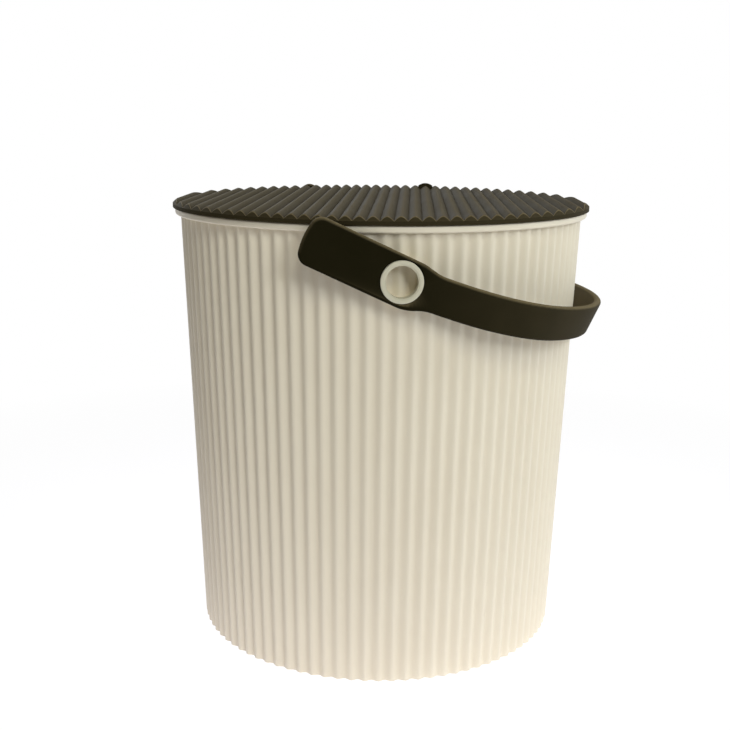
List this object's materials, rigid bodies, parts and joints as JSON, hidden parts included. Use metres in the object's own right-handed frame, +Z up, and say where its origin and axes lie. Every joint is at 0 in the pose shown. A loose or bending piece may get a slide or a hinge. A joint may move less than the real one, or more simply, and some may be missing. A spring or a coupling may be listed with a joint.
{
  "type": "bucket with lid",
  "caption": "Round tapered bucket with a reeded wall, a ribbed drop-in lid and a strap handle that swings on two hollow pivots, each closed by a snap ring.",
  "frame": {"origin": "centre of the foot ring, on the surface that the bucket stands on", "axes": "+Z up along the bucket's axis, Y along the handle's pivot axis with the front pivot at -Y, and the bail hanging towards +X at rest"},
  "size_m": [0.285, 0.2866, 0.291],
  "materials": {
    "cream_plastic": "satin moulded",
    "dark_plastic": "matte moulded"
  },
  "bodies": {
    "bucket": {"bucket_body": "cream_plastic", "pivot_ring_front": "cream_plastic", "pivot_ring_rear": "cream_plastic"},
    "lid": {"lid": "dark_plastic"},
    "handle": {"handle": "dark_plastic"}
  },
  "joints": [
    {"name": "handle_swing", "type": "hinge", "parent": "bucket", "child": "handle", "pos_m": [0, 0, 0.2533], "axis": [0, -1, 0], "range_deg": [-5.6, 218.3]},
    {"name": "lid_lift", "type": "slide", "parent": "bucket", "child": "lid", "axis": [0, 0, 1], "range_m": [0, 0.15]}
  ]
}
